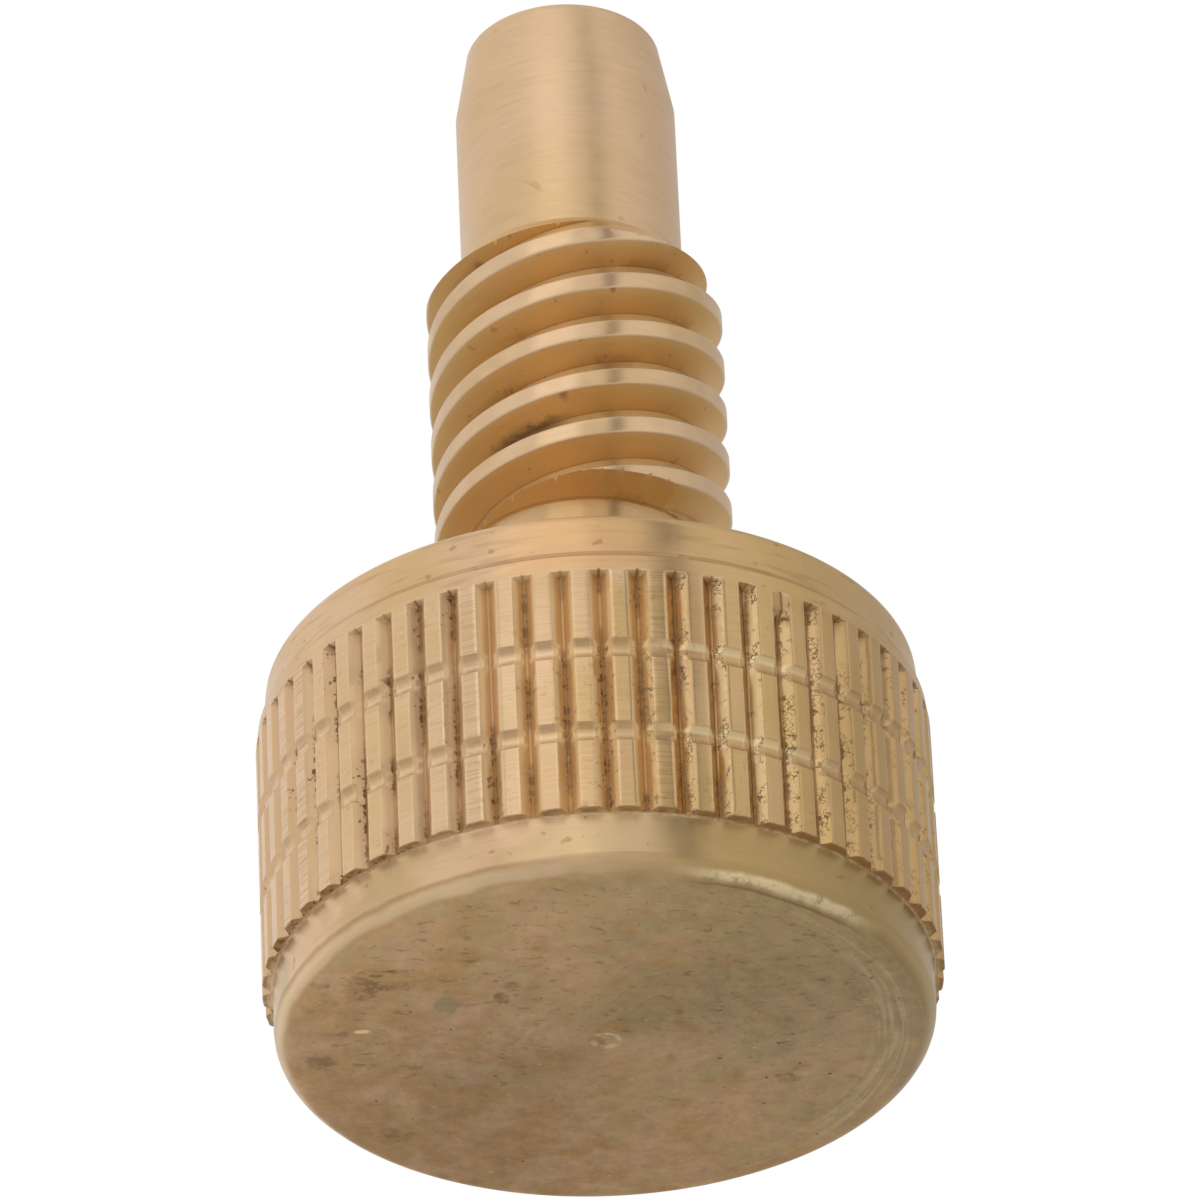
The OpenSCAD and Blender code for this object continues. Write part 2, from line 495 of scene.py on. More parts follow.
def build_piece():
    """The whole screw as one closed mesh."""
    start = math.radians(GROOVE_START_DEG)
    head_angles = np.array(
        [start + (t + s) * TOOTH_PITCH for t in range(GROOVES) for s in TOOTH_COLUMNS]
    )
    shank_angles = head_angles[::SHANK_SHARE]
    shell = Shell()
    rim, back = build_head(shell, head_angles)
    build_face(shell, rim, shank_angles)
    build_neck(shell, back, shank_angles)
    build_thread(shell, shank_angles)
    build_pilot(shell, shank_angles)

    points, faces = weld(shell.points, shell.faces)
    mesh = bpy.data.meshes.new("turned_brass")
    mesh.from_pydata((points * MM).tolist(), [], faces)
    mesh.validate()
    mesh.shade_smooth()
    mesh.set_sharp_from_angle(angle=math.radians(SHARP_DEG))
    piece = bpy.data.objects.new("turned_brass", mesh)
    bpy.context.scene.collection.objects.link(piece)
    return piece


# ---------------------------------------------------------------- nodes
class Graph:
    """Nodes of one tree, written as formulas."""

    def __init__(self, tree):
        self.tree = tree
        tree.nodes.clear()

    def plug(self, socket, value):
        """Links another node's output, or sets a plain value on the socket itself."""
        if isinstance(value, bpy.types.NodeSocket):
            self.tree.links.new(value, socket)
        else:
            socket.default_value = value

    def node(self, kind, inputs=(), **settings):
        """New node with its inputs, by name or number, and its settings."""
        made = self.tree.nodes.new(kind)
        for name, value in settings.items():
            setattr(made, name, value)
        for name, value in dict(inputs).items():
            self.plug(made.inputs[name], value)
        return made

    def math(self, operation, *values):
        return self.node("ShaderNodeMath", enumerate(values), operation=operation).outputs[0]

    def times(self, *values):
        total = values[0]
        for value in values[1:]:
            total = self.math("MULTIPLY", total, value)
        return total

    def plus(self, *values):
        total = values[0]
        for value in values[1:]:
            total = self.math("ADD", total, value)
        return total

    def less(self, value):
        """What a mask leaves free."""
        return self.math("SUBTRACT", 1.0, value)

    def ramp(self, value, low, high, start=0.0, end=1.0):
        """Soft step: start below low, end above high."""
        inputs = {"Value": value, "From Min": low, "From Max": high, "To Min": start, "To Max": end}
        kind = "SMOOTHSTEP"
        return self.node("ShaderNodeMapRange", inputs, interpolation_type=kind).outputs["Result"]

    def near(self, value, place, full, none):
        """Mask that is 1 within full of a place, and 0 past none."""
        away = self.math("ABSOLUTE", self.math("SUBTRACT", value, place))
        return self.ramp(away, full, none, 1.0, 0.0)

    def between(self, value, low, high, soft):
        """Mask that is 1 from low to high, softened at both ends."""
        up = self.ramp(value, low - soft, low + soft)
        return self.times(up, self.ramp(value, high - soft, high + soft, 1.0, 0.0))

    def vector(self, x, y, z):
        return self.node("ShaderNodeCombineXYZ", enumerate((x, y, z))).outputs[0]

    def noise(self, place, scale, detail=2.0, roughness=0.5):
        inputs = {"Vector": place, "Scale": scale, "Detail": detail, "Roughness": roughness}
        return self.node("ShaderNodeTexNoise", inputs).outputs["Fac"]

    def mix(self, factor, a, b):
        """Mix of two colours, which are inputs 6 and 7 and output 2 of the node."""
        made = self.node("ShaderNodeMix", data_type="RGBA")
        self.plug(made.inputs["Factor"], factor)
        self.plug(made.inputs[6], a)
        self.plug(made.inputs[7], b)
        return made.outputs[2]

    def shade(self, colour, factor):
        made = self.node("ShaderNodeVectorMath", {0: colour, "Scale": factor}, operation="SCALE")
        return made.outputs[0]


# ---------------------------------------------------------------- brass
# Linear colours of the metal and of what lies on it
ROSY_BRASS = (0.655, 0.440, 0.265, 1.0)
YELLOW_BRASS = (0.625, 0.415, 0.215, 1.0)
PALE_WEAR_AND_HIGHLIGHT = (0.820, 0.620, 0.390, 1.0)
BRIGHT_WEAR_AND_HIGHLIGHT = (0.900, 0.710, 0.410, 1.0)
DULL_FLANK_PAINTED_LIGHT = (0.650, 0.435, 0.245, 1.0)
WARM_BRASS = (0.640, 0.370, 0.150, 1.0)
ORANGE_SHADE = (0.790, 0.465, 0.140, 1.0)
OLIVE_BRASS = (0.480, 0.320, 0.105, 1.0)
OLIVE_TARNISH = (0.420, 0.300, 0.145, 1.0)
OLIVE_FILM_AND_SHADE = (0.250, 0.180, 0.065, 1.0)
ROSY_TARNISH_AND_SHADE = (0.520, 0.325, 0.175, 1.0)
BROWN_TARNISH_AND_SHADE = (0.450, 0.265, 0.110, 1.0)
GREY_SMEAR = (0.300, 0.250, 0.130, 1.0)
STAIN_BROWN_AND_SHADE = (0.240, 0.140, 0.054, 1.0)
RUST_BROWN_AND_SHADE = (0.300, 0.145, 0.050, 1.0)
OCHRE_RUST = (0.400, 0.220, 0.080, 1.0)
CURL_BROWN = (0.150, 0.080, 0.032, 1.0)
DARK_DIRT = (0.075, 0.036, 0.014, 1.0)


class Place:
    """Where a point of the brass lies: in millimetres, and round the axis."""

    def __init__(self, g):
        here = g.node("ShaderNodeTexCoord").outputs["Object"]
        self.mm = g.node("ShaderNodeVectorMath", {0: here, "Scale": 1 / MM}, operation="SCALE").outputs[0]
        split = g.node("ShaderNodeSeparateXYZ", {0: self.mm}).outputs
        self.x, self.y, self.z = split[0], split[1], split[2]
        self.r = g.math("SQRT", g.plus(g.times(self.x, self.x), g.times(self.y, self.y)))
        self.turn = g.math("ARCTAN2", self.y, self.x)
        self.degrees = g.math("MODULO", g.plus(g.times(self.turn, 180 / math.pi), 360.0), 360.0)
        # From -1 on the left to 1 on the right, as the photo shows the piece
        self.lean = g.math("DIVIDE", self.x, self.r)
        # Long along the cut and fine across it: what a turning tool leaves
        self.cut = g.vector(g.times(self.x, 0.12), g.times(self.y, 0.12), g.plus(self.z, self.r))


class Look:
    """Colour, metal share, roughness and height of a surface, while marks are laid on it."""

    def __init__(self, g, colour, rough, height):
        self.g = g
        self.colour = colour
        self.metal = 1.0
        self.rough = rough
        self.height = height

    def lay(self, mask, tone, rough=0.0, height=0.0, dull=0.0):
        """Lays a tone where the mask is 1, and adds to roughness and height or dulls the metal."""
        g = self.g
        self.colour = g.mix(mask, self.colour, tone)
        if dull:
            self.metal = g.plus(self.metal, g.times(mask, -dull))
        if rough:
            self.rough = g.plus(self.rough, g.times(mask, rough))
        if height:
            self.height = g.plus(self.height, g.times(mask, height))

    def soil(self, mask, tone, height=0.0):
        """Dirt: rough and hardly metallic."""
        self.lay(mask, tone, rough=0.2, height=height, dull=0.9)


def sector(g, at, from_deg, to_deg, soft=5.0):
    """Mask of the directions from one azimuth to another, softened at both ends."""
    return g.between(at.degrees, from_deg, to_deg, soft)


def flecks(g, place, scale, low, high, detail=1.0):
    """Small marks where a noise rises above a level."""
    return g.ramp(g.noise(place, scale, detail, 0.6), low, high)


def bare_metal(g, at):
    """Clean turned brass: colour that drifts from rosy to yellow, with fine cut lines."""
    drift = g.noise(at.mm, 0.22, 1.0)
    drift = g.plus(drift, g.times(at.x, 0.013), g.ramp(at.z, BACK_Z, PILOT_Z, 0.0, -0.03))
    colour = g.mix(g.ramp(drift, 0.36, 0.64), ROSY_BRASS, YELLOW_BRASS)
    fine = g.noise(at.cut, 9.0, 0.0)
    broad = g.noise(at.cut, 2.2, 2.0)
    mottle = g.noise(at.mm, 1.6, 3.0, 0.6)
    tone = g.plus(0.82, g.times(fine, 0.12), g.times(broad, 0.12), g.times(mottle, 0.12))
    height = g.plus(g.times(fine, 0.0016), g.times(broad, 0.005))
    rough = g.plus(0.21, g.times(broad, 0.10), g.times(mottle, 0.08))
    return Look(g, g.shade(colour, tone), rough, height)


def head_tarnish_and_shade(g, at, look):
    """Olive film over the head, mostly on its right side, where it is also painted shade, deepest low
    down and in the crease under the knurl.
    """
    head = g.ramp(at.z, BACK_Z + 0.1, BACK_Z + 0.3, 1.0, 0.0)
    right = g.ramp(at.lean, 0.05, 0.45)
    cloud = g.ramp(g.noise(at.mm, 0.35, 2.0, 0.6), 0.35, 0.65)
    # Painted shade: the olive film is heavier on the right side, and more so low down.
    film = g.plus(g.times(right, g.ramp(at.z, 2.0, STOP_TOP_Z, 0.50, 0.32)), g.times(cloud, 0.20))
    look.lay(g.times(head, film), OLIVE_BRASS, rough=0.04)
    # Painted shade in the crease under the knurl, on the right side.
    look.lay(g.times(right, g.ramp(at.z, KNURL_Z - 0.06, KNURL_Z, 0.38, 0.0)), OLIVE_FILM_AND_SHADE)
    look.lay(g.times(cloud, g.ramp(at.z, KNURL_Z - 0.06, KNURL_Z, 0.42, 0.0)), OLIVE_TARNISH)


def plain_finish(g, at, look):
    """Collars, stop strip, back face and neck: darker cut lines, painted shade in the corners, a painted
    highlight low on the lower collar, and a few pits.
    """
    head_tarnish_and_shade(g, at, look)
    line = g.ramp(g.noise(at.cut, 4.6, 1.0), 0.56, 0.70)
    look.lay(g.times(line, g.ramp(at.z, 3.0, STOP_Z, 0.06, 0.22)), RUST_BROWN_AND_SHADE)
    warm = g.times(g.near(at.lean, 0.0, 0.05, 0.35), g.ramp(at.z, 8.0, STOP_TOP_Z))
    look.lay(g.times(warm, 0.5), WARM_BRASS)
    # Painted highlight: a pale strip on the lower collar just under the knurl, at the middle of the front
    # and the back.
    pale = g.near(at.lean, 0.05, 0.04, 0.30)
    look.lay(g.times(pale, g.ramp(at.z, KNURL_Z, KNURL_Z + 0.3, 0.25, 0.0)), PALE_WEAR_AND_HIGHLIGHT)
    # Painted shade in the corners where the stop strip steps in to the upper collar.
    corner_shade = g.plus(g.near(at.z, STOP_TOP_Z, 0.01, 0.06), g.near(at.z, COLLAR_Z, 0.0, 0.05))
    look.lay(g.times(corner_shade, g.ramp(at.r, 10.4, 10.5), 0.35), RUST_BROWN_AND_SHADE)
    look.lay(g.times(flecks(g, at.mm, 2.1, 0.71, 0.77), 0.45), RUST_BROWN_AND_SHADE, height=-0.006)
    neck = g.between(at.z, BACK_Z + 0.05, NECK_TOP_Z, 0.1)
    look.lay(g.times(neck, g.ramp(at.r, 4.5, 5.0, 1.0, 0.0), 0.35), OLIVE_BRASS)


def pilot_finish(g, at, look):
    """The pilot is finer turned than the head, paler and duller, and darker on its left side, which is
    painted shade.
    """
    # Painted shade: darker towards the left.
    look.colour = g.shade(look.colour, g.ramp(at.x, -3.0, 0.5, 0.85, 0.95))
    look.lay(0.15, PALE_WEAR_AND_HIGHLIGHT, rough=0.6)
    line = g.ramp(g.noise(at.cut, 4.6, 1.0), 0.56, 0.70)
    look.lay(g.times(line, 0.06), RUST_BROWN_AND_SHADE)
    look.lay(g.times(flecks(g, at.mm, 1.3, 0.72, 0.78), 0.25), RUST_BROWN_AND_SHADE, height=-0.006)


class Tooth:
    """Where a point of the knurl lies on its tooth, with masks of the parts of a tooth."""

    def __init__(self, g, at):
        self.inside = g.between(at.z, KNURL_Z - 0.02, STOP_Z - 0.02, 0.02)
        past = g.math("SUBTRACT", at.turn, math.radians(GROOVE_START_DEG))
        count = g.plus(g.math("DIVIDE", past, TOOTH_PITCH), float(GROOVES))
        share = g.math("FRACT", count)
        groove = g.math("FLOOR", g.plus(count, 0.5))
        self.number = g.math("FLOOR", count)
        self.side = g.math("MINIMUM", share, g.less(share))
        self.right = g.ramp(at.lean, 0.05, 0.30)
        self.left = g.less(self.right)
        self.grain = g.noise(at.mm, 4.6, 1.0, 0.6)
        low = g.ramp(self.side, MOUTH_SHARE - 0.01, MOUTH_SHARE + 0.01, 1.0, 0.0)
        self.flank = g.times(self.inside, low)
        self.land = g.times(self.inside, g.less(self.flank))
        # The flank that the tool left last
        self.worked = g.times(self.flank, g.ramp(share, 0.45, 0.55, 1.0, 0.0))
        # Each groove has its own amount of dirt, which comes and goes along it
        self.own = g.noise(g.vector(g.times(groove, 1.7), 0.0, g.times(at.z, 0.35)), 1.0, 1.0)
        self.clusters = g.ramp(self.own, 0.42, 0.55)


def lands(g, at, look, tooth):
    """Lands: hatched across by the tool, much more on a few teeth than on the others."""
    own = g.noise(g.vector(tooth.number, 0.5, 0.5), 0.83, 0.0)
    hatch = g.noise(g.vector(g.times(at.x, 0.05), g.times(at.y, 0.05), at.z), 15.0, 0.0)
    hatch = g.times(tooth.land, g.ramp(hatch, 0.50, 0.62), g.ramp(own, 0.50, 0.74, 0.10, 0.42))
    look.lay(g.times(hatch, g.ramp(at.lean, 0.10, 0.35, 1.0, 0.12)), STAIN_BROWN_AND_SHADE)
    tint = g.noise(g.vector(g.times(tooth.number, 0.8), g.times(at.z, 0.22), 0.0), 1.0, 1.0)
    # Painted light: the lands are paler towards the left.
    look.lay(g.times(tooth.land, g.ramp(at.lean, -0.5, 0.0, 0.16, 0.0)), PALE_WEAR_AND_HIGHLIGHT)
    much = g.ramp(at.lean, -0.4, 0.3, 0.08, 0.38)
    look.lay(g.times(tooth.land, much, g.ramp(tint, 0.50, 0.66)), ROSY_TARNISH_AND_SHADE)
    look.lay(g.times(tooth.land, much, g.ramp(tint, 0.34, 0.48, 1.0, 0.0)), OLIVE_BRASS)


def cross_grooves(g, at, look, tooth):
    """Cross grooves: painted highlights on the wall that faces down on the right and on the other wall on
    the left, and painted shade on the other wall on each side.
    """
    upper = g.plus(*(g.between(at.z, c + 0.10, c + 0.33, 0.05) for c in CROSS_Z))
    lower = g.plus(*(g.between(at.z, c - 0.33, c - 0.02, 0.05) for c in CROSS_Z))
    # Painted highlight and painted shade, by which way each wall faces and on which side it lies.
    shine = g.times(tooth.inside, upper, tooth.right, g.ramp(at.lean, 0.5, 0.9, 0.55, 0.15))
    look.lay(shine, BRIGHT_WEAR_AND_HIGHLIGHT)
    look.lay(g.times(tooth.inside, lower, tooth.right, 0.45), ROSY_TARNISH_AND_SHADE)
    look.lay(g.times(tooth.land, upper, tooth.left, 0.25), RUST_BROWN_AND_SHADE)
    look.lay(g.times(tooth.land, lower, tooth.left, 0.40), PALE_WEAR_AND_HIGHLIGHT)


def groove_dirt_and_shade(g, at, look, tooth):
    """Straight grooves: flanks on the left made lighter and duller, which is painted light, painted
    orange shade on the flanks in the middle, and dirt in the roots.
    """
    near_root = g.times(tooth.flank, g.ramp(tooth.side, 0.04, 0.12, 1.0, 0.0))
    # Painted light: the flanks on the left get a lighter, duller tone, against the shade in the grooves.
    look.lay(g.times(tooth.flank, tooth.left, 0.70), DULL_FLANK_PAINTED_LIGHT, rough=0.1, dull=0.5)
    # Painted shade: orange on the flanks in the middle.
    look.lay(g.times(tooth.flank, g.near(at.lean, 0.0, 0.15, 0.50), 0.35), ORANGE_SHADE)
    front = g.times(tooth.flank, g.ramp(at.y, -8.0, -4.0, 0.15, 0.0), tooth.left, tooth.clusters)
    look.lay(front, RUST_BROWN_AND_SHADE)
    packed = g.times(near_root, tooth.clusters, g.ramp(tooth.grain, 0.50, 0.56), 0.85)
    look.soil(packed, DARK_DIRT)
    stray = g.times(tooth.inside, g.ramp(tooth.side, 0.10, 0.34, 1.0, 0.2), g.ramp(tooth.own, 0.48, 0.58))
    look.soil(g.times(stray, g.ramp(tooth.grain, 0.63, 0.67), 0.7), DARK_DIRT)


def torn_flanks(g, at, look, tooth):
    """The flank that the tool left last is torn on the right half: pale, with brown curls."""
    reach = g.plus(MOUTH_SHARE - 0.02, g.times(g.math("SUBTRACT", tooth.grain, 0.5), 0.35))
    inner = g.ramp(g.math("SUBTRACT", tooth.side, reach), -0.02, 0.01, 1.0, 0.0)
    torn = g.times(tooth.worked, inner, g.plus(0.1, g.times(tooth.right, 0.9)))
    look.lay(g.times(torn, g.ramp(at.lean, 0.35, 0.75, 0.32, 0.08)), PALE_WEAR_AND_HIGHLIGHT, rough=0.1)
    curl = g.near(g.noise(at.mm, 5.2, 1.0, 0.6), 0.5, 0.010, 0.035)
    fewer = g.ramp(at.lean, 0.55, 0.85, 1.0, 0.5)
    some = g.times(g.ramp(g.noise(at.mm, 1.3, 1.0), 0.45, 0.57), fewer)
    look.soil(g.times(torn, curl, some, 0.70), CURL_BROWN, height=-0.012)
    look.soil(g.times(torn, g.ramp(tooth.grain, 0.59, 0.64), some, 0.60), CURL_BROWN)


def groove_edges(g, at, look, tooth):
    """End walls painted pale against their shade, a thin line of painted shade and dirt along each root,
    painted shade on the right on the flank that the tool did not leave last, rubbed edges on the lands,
    and brown painted shade towards the far right.
    """
    # Painted light: the end walls at the top of the grooves are laid pale.
    end = g.times(tooth.flank, g.ramp(at.z, STOP_Z - 0.16, STOP_Z - 0.05, 0.0, 0.55))
    look.lay(end, PALE_WEAR_AND_HIGHLIGHT, rough=0.1, dull=0.5)
    # Painted shade, with more dirt in some grooves: a thin dark line along each root.
    root = g.times(tooth.inside, g.ramp(tooth.side, 0.025, 0.055, 1.0, 0.0))
    look.lay(g.times(root, g.plus(0.35, g.times(tooth.clusters, 0.45))), RUST_BROWN_AND_SHADE, rough=0.2)
    # Painted shade on the other flank, on the right.
    look.lay(g.times(tooth.flank, tooth.right, g.less(tooth.worked), 0.35), RUST_BROWN_AND_SHADE)
    edge = g.times(tooth.land, g.near(tooth.side, MOUTH_SHARE + 0.03, 0.006, 0.03))
    look.lay(g.times(edge, 0.25), PALE_WEAR_AND_HIGHLIGHT)
    # Painted shade: brown, deeper towards the far right.
    look.lay(g.times(tooth.inside, g.ramp(at.lean, 0.45, 0.80, 0.0, 0.35)), BROWN_TARNISH_AND_SHADE)


def knurl_foot(g, at, look, tooth):
    """Foot: grainy rust on the left, yellow brown on the right, a painted highlight along its rim, and
    under the lands a dark line that is a burr with painted shadow.
    """
    ledge = g.times(g.ramp(at.z, KNURL_Z + 0.01, KNURL_Z + 0.04, 1.0, 0.0), g.ramp(at.r, 10.60, 10.68))
    rusty = g.times(ledge, sector(g, at, 192, 238))
    look.lay(g.times(rusty, 0.85), OCHRE_RUST, rough=0.3, dull=0.8)
    look.soil(g.times(rusty, g.ramp(tooth.grain, 0.52, 0.60), 0.65), DARK_DIRT)
    look.lay(g.times(ledge, sector(g, at, 290, 345), 0.85), OCHRE_RUST, rough=0.2, dull=0.5)
    # Painted highlight along the rim of the foot.
    rim = g.times(g.near(at.z, 2.08, 0.03, 0.05), g.ramp(at.r, 10.72, 10.76, 1.0, 0.0))
    look.lay(g.times(rim, g.ramp(tooth.grain, 0.35, 0.60, 0.10, 0.45)), PALE_WEAR_AND_HIGHLIGHT)
    # A burr under the lands, darkened with painted shadow.
    ragged = g.plus(at.z, g.times(tooth.grain, 0.14))
    burr_and_shadow = g.times(g.near(ragged, KNURL_Z + 0.08, 0.01, 0.05), g.ramp(at.r, 10.80, 10.90))
    look.lay(g.times(burr_and_shadow, 0.50), RUST_BROWN_AND_SHADE, rough=0.3, dull=0.7)


def knurl_finish(g, at, look):
    """Hatched lands, dirt and painted shade in the grooves, painted highlights and shade on their walls,
    torn flanks, and rust and a painted highlight round the foot.
    """
    head_tarnish_and_shade(g, at, look)
    tooth = Tooth(g, at)
    for part in (lands, cross_grooves, groove_dirt_and_shade, torn_flanks, groove_edges, knurl_foot):
        part(g, at, look, tooth)


# Stains on the outer face, and one patch of painted shade beside the centre mark: centre and half size in
# millimetres, and strength
STAINS_AND_SHADE = (
    (-7.75, -3.85, 0.50, 0.80, 0.75),
    (-6.70, -4.15, 0.62, 0.32, 0.75),
    (-6.55, -5.00, 0.45, 0.12, 0.85),
    (-7.20, -4.80, 0.25, 0.12, 0.80),
    (-3.25, -3.05, 0.24, 0.42, 0.75),
    (-2.90, -3.65, 0.36, 0.34, 0.65),
    (-9.30, 0.50, 0.50, 0.45, 0.60),
    (-9.00, -4.30, 0.36, 0.18, 0.80),
    (-7.00, 5.40, 0.55, 0.60, 0.55),
    (5.80, 2.90, 0.45, 0.35, 0.60),
    (6.20, 2.30, 0.35, 0.20, 0.55),
    (3.30, 4.30, 0.40, 0.15, 0.55),
    (-2.80, -0.30, 0.60, 0.70, 0.30),
    # Painted shade on the left of the centre mark
    (-0.30, 0.05, 0.30, 0.40, 0.50),
)
SMEAR = (-5.05, -2.75, 0.50, 0.45, 0.55)
FLECK = (-7.8, -1.3, 0.26, 0.12, 0.90)


def spot(g, at, warp, density, place):
    """Mask of one stain with an uneven edge and an uneven inside."""
    x, y, half_x, half_y, strength = place
    shift = g.node("ShaderNodeVectorMath", {0: at.mm, 1: (-x, -y, 0.0)}, operation="ADD").outputs[0]
    scale = (1 / half_x, 1 / half_y, 0.0)
    shift = g.node("ShaderNodeVectorMath", {0: shift, 1: scale}, operation="MULTIPLY").outputs[0]
    away = g.node("ShaderNodeVectorMath", {0: shift}, operation="LENGTH").outputs["Value"]
    away = g.plus(away, warp)
    return g.times(g.ramp(away, 0.75, 1.20, strength, 0.0), density)


def facing_rings(g, at, look, flat):
    """Rings of the facing cut, clear only near the right rim."""
    rings = g.noise(g.vector(g.times(at.x, 0.03), g.times(at.y, 0.03), at.r), 14.0, 0.0)
    clear = g.times(g.ramp(at.r, 8.2, 9.2), g.ramp(at.x, 3.0, 8.5, 0.08, 1.0))
    rings = g.times(flat, g.plus(0.05, clear), g.ramp(rings, 0.45, 0.65))
    look.lay(g.times(rings, 0.26), PALE_WEAR_AND_HIGHLIGHT)


def face_scratches(g, at, look, flat, cloud):
    """Dents and short crooked scratches, most of them near the front and along x."""
    crook = g.noise(at.mm, 0.9, 2.0)
    across = g.plus(g.times(at.y, 2.1), g.times(crook, 1.8))
    stroke = g.vector(g.plus(at.x, g.times(crook, 0.6)), across, 0.0)
    crowd = g.ramp(g.plus(cloud, g.times(at.y, -0.02)), 0.35, 0.60, 0.15, 0.55)
    look.lay(g.times(flat, crowd, flecks(g, stroke, 1.4, 0.56, 0.68, 5.0)), STAIN_BROWN_AND_SHADE, height=-0.015)
    look.lay(g.times(flat, crowd, flecks(g, at.mm, 3.1, 0.66, 0.74), 0.7), STAIN_BROWN_AND_SHADE)
    look.soil(g.times(flat, flecks(g, at.mm, 2.3, 0.765, 0.79), 0.75), DARK_DIRT)
    look.lay(g.times(flat, flecks(g, stroke, 2.3, 0.64, 0.74, 2.0), 0.35), PALE_WEAR_AND_HIGHLIGHT)


def face_stains(g, at, look, flat, mottle):
    """The stains, one of them painted shade, the grey smear, the pale fleck, and a painted highlight on
    the centre mark.
    """
    inner = g.noise(at.mm, 1.9, 3.0, 0.65)
    warp = g.times(g.math("SUBTRACT", inner, 0.5), 2.4)
    density = g.ramp(mottle, 0.42, 0.56, 1.0, 0.35)
    for place in STAINS_AND_SHADE:
        look.lay(g.times(flat, spot(g, at, warp, density, place)), STAIN_BROWN_AND_SHADE)
    look.lay(g.times(flat, spot(g, at, warp, 1.0, SMEAR)), GREY_SMEAR)
    look.lay(g.times(flat, spot(g, at, 0.0, 1.0, FLECK)), BRIGHT_WEAR_AND_HIGHLIGHT)
    # Painted highlight: pale arcs on the wall of the centre mark and a pale centre.
    mark = g.times(g.near(at.r, 0.42, 0.03, 0.16), g.ramp(inner, 0.40, 0.60, 0.05, 0.65))
    mark = g.plus(mark, g.times(g.ramp(at.r, 0.10, 0.22, 0.6, 0.0), g.ramp(mottle, 0.4, 0.6)))
    look.lay(g.times(flat, mark), PALE_WEAR_AND_HIGHLIGHT)


def face_edge(g, at, look, tarnish_and_painted_light, mottle):
    """The round edge of the outer face, by its bend: 0 at the collar and 90 at the face. It is tarnished
    and rubbed in one arc, with two lines of painted shade and a band of painted highlight between them.
    """
    out = g.math("SUBTRACT", at.r, COLLAR_R - FACE_EDGE_R)
    bend = g.times(g.math("ARCTAN2", g.math("SUBTRACT", FACE_EDGE_R, at.z), out), 180 / math.pi)
    wavy = g.plus(bend, g.times(g.noise(at.mm, 0.7, 2.0), 22.0), -11.0)
    edge = g.ramp(at.r, 9.7, 9.9)
    look.lay(g.times(edge, g.ramp(wavy, 48.0, 78.0), 0.80), tarnish_and_painted_light)
    side_lip = sector(g, at, 185, 262, 14.0)
    lip = g.times(edge, g.plus(0.20, g.times(side_lip, 0.80)))
    # Painted shade in two lines along the lip, and a painted highlight band between them.
    look.lay(g.times(lip, g.near(wavy, 10.0, 2.0, 12.0), 0.42), STAIN_BROWN_AND_SHADE)
    look.lay(g.times(lip, g.near(wavy, 62.0, 2.0, 10.0), 0.14), STAIN_BROWN_AND_SHADE)
    look.lay(g.times(lip, g.near(wavy, 38.0, 6.0, 20.0), 0.45), PALE_WEAR_AND_HIGHLIGHT)
    worn_arc = sector(g, at, 288, 322, 7.0)
    worn = g.times(edge, worn_arc, g.near(wavy, 48.0, 6.0, 22.0))
    look.lay(g.times(worn, g.ramp(mottle, 0.36, 0.54), 0.95), BRIGHT_WEAR_AND_HIGHLIGHT, height=0.01)
    look.lay(g.times(edge, worn_arc, g.near(wavy, 76.0, 1.0, 8.0), 0.55), STAIN_BROWN_AND_SHADE)


def face_finish(g, at, look):
    """Tarnish, stains, dents and scratches on the outer face, with painted light towards the left and the
    front, and its rubbed round edge.
    """
    head_tarnish_and_shade(g, at, look)
    flat = g.times(g.ramp(at.z, 0.04, 0.16, 1.0, 0.0), g.ramp(at.r, 10.15, 10.4, 1.0, 0.0))
    cloud = g.noise(at.mm, 0.30, 4.0, 0.65)
    mottle = g.noise(at.mm, 1.3, 5.0, 0.75)
    olive = g.plus(cloud, g.times(at.x, 0.010), g.times(at.y, -0.010), g.times(mottle, 0.5))
    tarnish_and_painted_light = g.mix(g.ramp(olive, 0.64, 0.88), ROSY_TARNISH_AND_SHADE, OLIVE_TARNISH)
    warm = g.plus(g.noise(at.mm, 0.55, 2.0), g.times(at.x, -0.016), g.times(at.y, 0.006))
    tarnish_and_painted_light = g.mix(g.ramp(warm, 0.48, 0.68, 0.0, 0.85), tarnish_and_painted_light, BROWN_TARNISH_AND_SHADE)
    # Painted light: the face is lighter towards the left and the front.
    left_painted_light = g.ramp(at.x, -9.5, -4.0, 0.14, 0.0)
    front_painted_light = g.ramp(at.y, -9.5, -1.0, 0.26, 0.0)
    tarnish_and_painted_light = g.shade(tarnish_and_painted_light, g.plus(0.47, left_painted_light, front_painted_light, g.times(mottle, 1.14)))
    look.lay(g.times(flat, 0.96), tarnish_and_painted_light, rough=0.12)
    facing_rings(g, at, look, flat)
    face_scratches(g, at, look, flat, cloud)
    face_stains(g, at, look, flat, mottle)
    face_edge(g, at, look, tarnish_and_painted_light, mottle)


# Dirt lodged in one thread root: where it starts and ends, and its height at one azimuth
LODGED_FROM_DEG = 228.0
LODGED_TO_DEG = 262.0
LODGED_AT_DEG = 241.0
LODGED_Z = 21.0

# Single specks on the flanks: azimuth, height, half width in degrees and half height
THREAD_SPECKS = (
    (264.5, 21.75, 2.2, 0.15),
    (286.0, 25.9, 1.6, 0.12),
    (316.0, 24.6, 1.2, 0.10),
    (223.0, 28.2, 3.0, 0.16),
)


